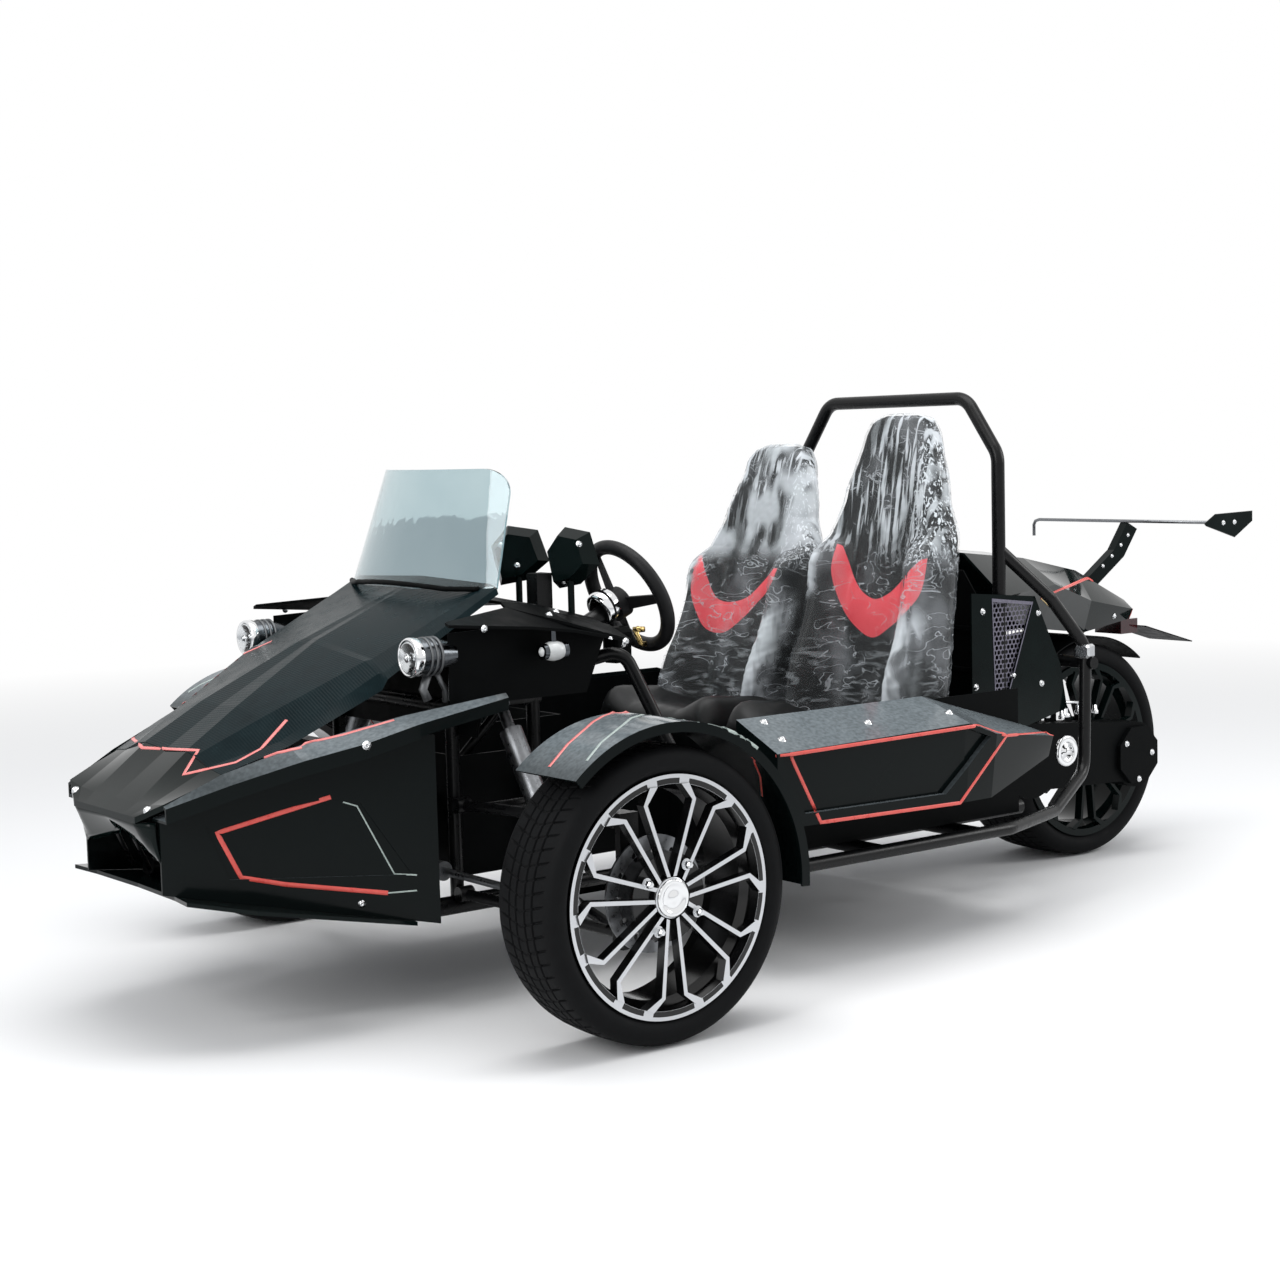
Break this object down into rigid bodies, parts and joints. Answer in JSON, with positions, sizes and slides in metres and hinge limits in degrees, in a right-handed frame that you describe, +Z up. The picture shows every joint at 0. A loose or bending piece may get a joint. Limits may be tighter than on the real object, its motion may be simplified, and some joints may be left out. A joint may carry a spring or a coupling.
{
  "type": "three wheeled car",
  "caption": "Open two seat three wheeled sports car with two steered front wheels under cycle fenders, one driven rear wheel, bucket seats and a roll hoop.",
  "frame": {"origin": "middle of the car's bounding box, on the ground", "axes": "+X forward, +Y to the driver's left, +Z up"},
  "size_m": [3.185, 1.664, 1.227],
  "materials": {
    "tyre_rubber": "matt rubber",
    "wheel_alloy": "machined face, satin",
    "disc_steel": "turned",
    "hub_steel": "satin",
    "body_black": "high gloss",
    "hood_black": "high gloss",
    "trim_black": "matt",
    "frame_black": "satin",
    "shock_steel": "satin",
    "rod_steel": "satin",
    "cast_metal": "as cast",
    "grip_black": "matt",
    "screen_tint": "tinted, clear",
    "lamp_silver": "bright",
    "seat_vinyl": "satin",
    "exhaust_steel": "satin",
    "core_grey": "matt",
    "lamp_red": "gloss"
  },
  "bodies": {
    "car_body": {"chassis_rail_left": "frame_black", "chassis_rail_right": "frame_black", "control_arms_left": "frame_black", "control_arms_right": "frame_black", "cross_tubes": "frame_black", "dash": "trim_black", "drive_case": "trim_black", "engine_block": "cast_metal", "exhaust": "exhaust_steel", "floor_pan": "trim_black", "front_cross_tubes": "frame_black", "front_frame_left": "frame_black", "front_frame_right": "frame_black", "front_lamps_left": "lamp_silver", "front_lamps_right": "lamp_silver", "front_shock_left": "shock_steel", "front_shock_right": "shock_steel", "front_splitter": "body_black", "hood": "hood_black", "mirrors": "body_black", "nose_panel": "body_black", "nose_side_left": "body_black", "nose_side_right": "body_black", "plate_bracket": "trim_black", "rack_housing": "cast_metal", "radiator": "core_grey", "rear_cross_tube": "frame_black", "rear_hugger": "trim_black", "rear_shock": "shock_steel", "roll_hoop": "frame_black", "seat_left": "seat_vinyl", "seat_right": "seat_vinyl", "seat_risers": "frame_black", "side_panel_left": "body_black", "side_panel_right": "body_black", "side_pod_left": "body_black", "side_pod_right": "body_black", "side_tube_left": "frame_black", "side_tube_right": "frame_black", "steering_column": "frame_black", "swing_arm": "frame_black", "tail_body": "body_black", "tail_lamp": "lamp_red", "windscreen": "screen_tint", "wing_arm": "body_black", "wing_blade": "body_black"},
    "knuckle_left_body": {"knuckle_left": "hub_steel", "fender_left": "body_black"},
    "knuckle_right_body": {"knuckle_right": "hub_steel", "fender_right": "body_black"},
    "wheel_left_body": {"tyre_front_left": "tyre_rubber", "wheel_front_left": "wheel_alloy", "brake_disc_front_left": "disc_steel"},
    "wheel_right_body": {"tyre_front_right": "tyre_rubber", "wheel_front_right": "wheel_alloy", "brake_disc_front_right": "disc_steel"},
    "wheel_rear_body": {"tyre_rear": "tyre_rubber", "wheel_rear": "wheel_alloy"},
    "rack_body": {"tie_rods": "rod_steel"},
    "steering_body": {"steering_wheel": "grip_black"}
  },
  "joints": [
    {"name": "steer_left", "type": "hinge", "parent": "car_body", "child": "knuckle_left_body", "pos_m": [0.8375, 0.655, 0.284], "axis": [0, 0, 1], "range_deg": [-28, 28]},
    {"name": "steer_right", "type": "hinge", "parent": "car_body", "child": "knuckle_right_body", "pos_m": [0.8375, -0.655, 0.284], "axis": [0, 0, 1], "range_deg": [-28, 28]},
    {"name": "rack_slide", "type": "slide", "parent": "car_body", "child": "rack_body", "axis": [0, 1, 0], "range_m": [-0.0705, 0.0705]},
    {"name": "steering_turn", "type": "hinge", "parent": "car_body", "child": "steering_body", "pos_m": [0.4925, 0.248, 0.8], "axis": [-0.9063, 0, 0.4226], "range_deg": [-112.1, 112.1]},
    {"name": "roll_left", "type": "hinge", "parent": "knuckle_left_body", "child": "wheel_left_body", "pos_m": [0.8375, 0.734, 0.284], "axis": [0, 1, 0], "continuous": true},
    {"name": "roll_right", "type": "hinge", "parent": "knuckle_right_body", "child": "wheel_right_body", "pos_m": [0.8375, -0.734, 0.284], "axis": [0, 1, 0], "continuous": true},
    {"name": "roll_rear", "type": "hinge", "parent": "car_body", "child": "wheel_rear_body", "pos_m": [-1.1225, 0, 0.284], "axis": [0, 1, 0], "continuous": true}
  ],
  "couplings": [
    {"joint": "steer_right", "follows": "steer_left", "ratio": 1},
    {"joint": "rack_slide", "follows": "steer_left", "m_per_rad": 0.1441},
    {"joint": "steering_turn", "follows": "steer_left", "ratio": 4}
  ]
}
